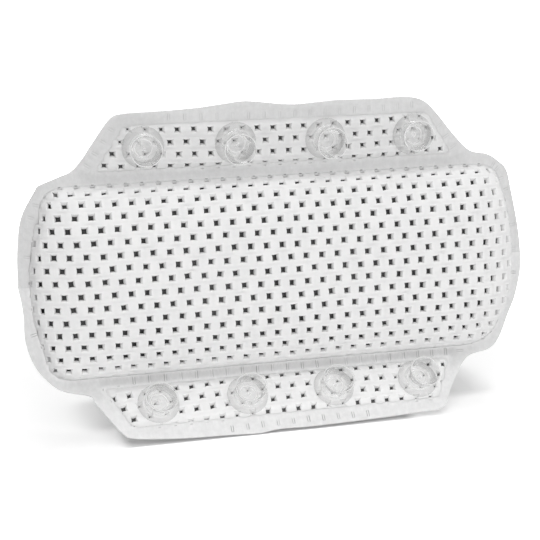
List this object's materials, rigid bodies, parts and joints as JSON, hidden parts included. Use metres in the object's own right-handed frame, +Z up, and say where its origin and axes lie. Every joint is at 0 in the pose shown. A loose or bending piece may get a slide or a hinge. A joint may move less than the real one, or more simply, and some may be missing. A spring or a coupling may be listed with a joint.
{
  "type": "bath pillow",
  "caption": "Perforated foam-sheet bath pillow: welded crowned cushion on a foam core, with a folding flap of clear suction cups along each long edge.",
  "frame": {"origin": "middle of the cushion's seam, in the plane where its two sheets are welded", "axes": "+X along the pillow's width, +Y away from the suction cups' side, +Z up; the cushion leans back as it is pictured"},
  "size_m": [0.36, 0.0612, 0.2166],
  "materials": {
    "foam_sheet": "white foamed vinyl sheet, matte, welded clear grey at its borders",
    "foam": "grey open-cell foam",
    "clear_cup": "clear soft vinyl, glossy"
  },
  "bodies": {
    "cushion": {"front_panel": "foam_sheet", "back_panel": "foam_sheet", "foam_core": "foam"},
    "upper_flap": {"upper_flap_front_sheet": "foam_sheet", "upper_flap_back_sheet": "foam_sheet", "upper_flap_liner": "foam", "upper_suction_cup_1": "clear_cup", "upper_suction_cup_2": "clear_cup", "upper_suction_cup_3": "clear_cup", "upper_suction_cup_4": "clear_cup"},
    "lower_flap": {"lower_flap_front_sheet": "foam_sheet", "lower_flap_back_sheet": "foam_sheet", "lower_flap_liner": "foam", "lower_suction_cup_1": "clear_cup", "lower_suction_cup_2": "clear_cup", "lower_suction_cup_3": "clear_cup", "lower_suction_cup_4": "clear_cup"}
  },
  "joints": [
    {"name": "upper_flap_fold", "type": "hinge", "parent": "cushion", "child": "upper_flap", "pos_m": [0, 0.00659, 0.06848], "axis": [1, 0, 0], "range_deg": [-89, 51], "stiffness_Nm_per_rad": 0.35},
    {"name": "lower_flap_fold", "type": "hinge", "parent": "cushion", "child": "lower_flap", "pos_m": [0, -0.00659, -0.06848], "axis": [-1, 0, 0], "range_deg": [-119, 21], "stiffness_Nm_per_rad": 0.35}
  ]
}
